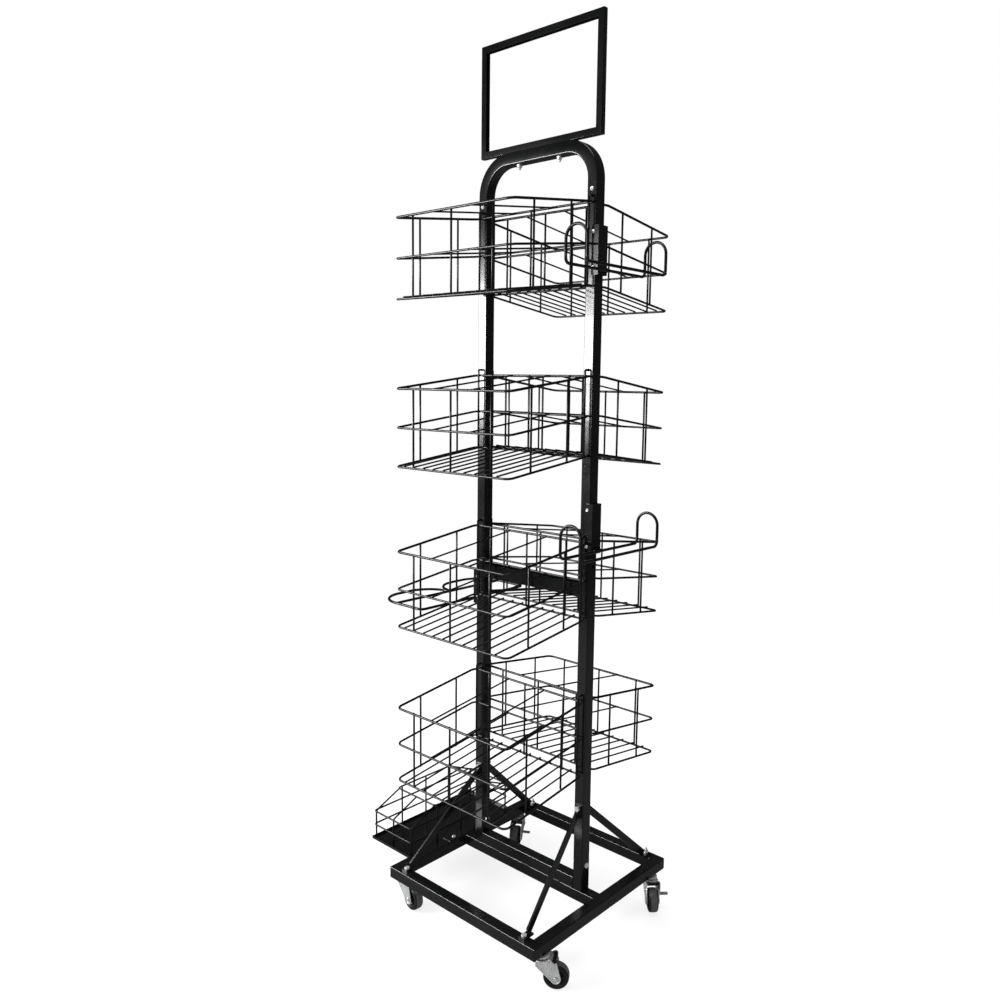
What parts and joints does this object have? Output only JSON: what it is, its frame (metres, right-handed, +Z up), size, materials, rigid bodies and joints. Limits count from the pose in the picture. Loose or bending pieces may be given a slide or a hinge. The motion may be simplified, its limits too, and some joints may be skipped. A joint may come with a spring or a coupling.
{
  "type": "wire basket display rack",
  "caption": "Tall double-sided display rack on swivel casters, with sloping wire baskets, an arched top, a sign frame, side hanger rails and an umbrella ring over a drip tray.",
  "frame": {"origin": "on the floor under the centre of the rectangular base, midway between the two posts", "axes": "+Z up the posts, +X from the left post (umbrella side) to the right post (hanger side), -Y towards the front baskets"},
  "size_m": [0.6059, 0.4936, 1.86],
  "materials": {
    "black_powder_coat": "semi-gloss powder coat",
    "zinc": "zinc plated",
    "black_plastic": "moulded",
    "black_rubber": "matt tread"
  },
  "bodies": {
    "rack": {"base_frame": "black_powder_coat", "post_left": "black_powder_coat", "post_right": "black_powder_coat", "arch_tube": "black_powder_coat", "sign_frame": "black_powder_coat", "crossbar": "black_powder_coat", "brace_front_right": "black_powder_coat", "brace_front_left": "black_powder_coat", "brace_back_left": "black_powder_coat", "brace_back_right": "black_powder_coat", "umbrella_ring": "black_powder_coat", "umbrella_bracket": "black_powder_coat", "rail_hanger_upper": "black_powder_coat", "rail_hanger_lower": "black_powder_coat", "rail_bracket_upper": "black_powder_coat", "rail_bracket_lower": "black_powder_coat", "drip_tray": "black_powder_coat", "tray_guard": "black_powder_coat", "basket_front_1": "black_powder_coat", "basket_front_2": "black_powder_coat", "basket_front_3": "black_powder_coat", "basket_front_4": "black_powder_coat", "basket_back_1": "black_powder_coat", "basket_back_2": "black_powder_coat", "basket_back_3": "black_powder_coat", "basket_back_4": "black_powder_coat", "post_bolts": "zinc", "post_nuts": "zinc", "arch_screws": "zinc", "sign_bolts": "zinc", "sign_nuts": "zinc", "crossbar_screws": "zinc", "brace_bolts": "zinc", "brace_nuts": "zinc", "bracket_screws": "zinc", "tray_screws": "zinc", "caster_stems": "zinc", "caster_balls": "zinc"},
    "caster_front_left": {"caster_front_left_fork": "zinc", "caster_front_left_pins": "zinc"},
    "wheel_front_left": {"caster_front_left_hub": "black_plastic", "caster_front_left_tyre": "black_rubber"},
    "brake_front_left": {"caster_front_left_pedal": "zinc"},
    "caster_front_right": {"caster_front_right_fork": "zinc", "caster_front_right_pins": "zinc"},
    "wheel_front_right": {"caster_front_right_hub": "black_plastic", "caster_front_right_tyre": "black_rubber"},
    "brake_front_right": {"caster_front_right_pedal": "zinc"},
    "caster_back_left": {"caster_back_left_fork": "zinc", "caster_back_left_pins": "zinc"},
    "wheel_back_left": {"caster_back_left_hub": "black_plastic", "caster_back_left_tyre": "black_rubber"},
    "brake_back_left": {"caster_back_left_pedal": "zinc"},
    "caster_back_right": {"caster_back_right_fork": "zinc", "caster_back_right_pins": "zinc"},
    "wheel_back_right": {"caster_back_right_hub": "black_plastic", "caster_back_right_tyre": "black_rubber"},
    "brake_back_right": {"caster_back_right_pedal": "zinc"}
  },
  "joints": [
    {"name": "swivel_front_left", "type": "hinge", "parent": "rack", "child": "caster_front_left", "pos_m": [-0.2025, -0.183, 0.06], "axis": [0, 0, 1], "continuous": true},
    {"name": "roll_front_left", "type": "hinge", "parent": "caster_front_left", "child": "wheel_front_left", "pos_m": [-0.17471, -0.18641, 0.0255], "axis": [0.1219, 0.9925, 0], "continuous": true},
    {"name": "pedal_front_left", "type": "hinge", "parent": "caster_front_left", "child": "brake_front_left", "pos_m": [-0.19654, -0.18373, 0.0505], "axis": [0.1219, 0.9925, 0], "range_deg": [0, 16]},
    {"name": "swivel_front_right", "type": "hinge", "parent": "rack", "child": "caster_front_right", "pos_m": [0.2025, -0.183, 0.06], "axis": [0, 0, 1], "continuous": true},
    {"name": "roll_front_right", "type": "hinge", "parent": "caster_front_right", "child": "wheel_front_right", "pos_m": [0.22571, -0.16734, 0.0255], "axis": [-0.5592, 0.829, 0], "continuous": true},
    {"name": "pedal_front_right", "type": "hinge", "parent": "caster_front_right", "child": "brake_front_right", "pos_m": [0.20747, -0.17964, 0.0505], "axis": [-0.5592, 0.829, 0], "range_deg": [0, 16]},
    {"name": "swivel_back_left", "type": "hinge", "parent": "rack", "child": "caster_back_left", "pos_m": [-0.2025, 0.183, 0.06], "axis": [0, 0, 1], "continuous": true},
    {"name": "roll_back_left", "type": "hinge", "parent": "caster_back_left", "child": "wheel_back_left", "pos_m": [-0.1885, 0.15875, 0.0255], "axis": [0.866, 0.5, 0], "continuous": true},
    {"name": "pedal_back_left", "type": "hinge", "parent": "caster_back_left", "child": "brake_back_left", "pos_m": [-0.1995, 0.1778, 0.0505], "axis": [0.866, 0.5, 0], "range_deg": [0, 16]},
    {"name": "swivel_back_right", "type": "hinge", "parent": "rack", "child": "caster_back_right", "pos_m": [0.2025, 0.183, 0.06], "axis": [0, 0, 1], "continuous": true},
    {"name": "roll_back_right", "type": "hinge", "parent": "caster_back_right", "child": "wheel_back_right", "pos_m": [0.22264, 0.16355, 0.0255], "axis": [0.6947, 0.7193, 0], "continuous": true},
    {"name": "pedal_back_right", "type": "hinge", "parent": "caster_back_right", "child": "brake_back_right", "pos_m": [0.20682, 0.17883, 0.0505], "axis": [0.6947, 0.7193, 0], "range_deg": [0, 16]}
  ]
}
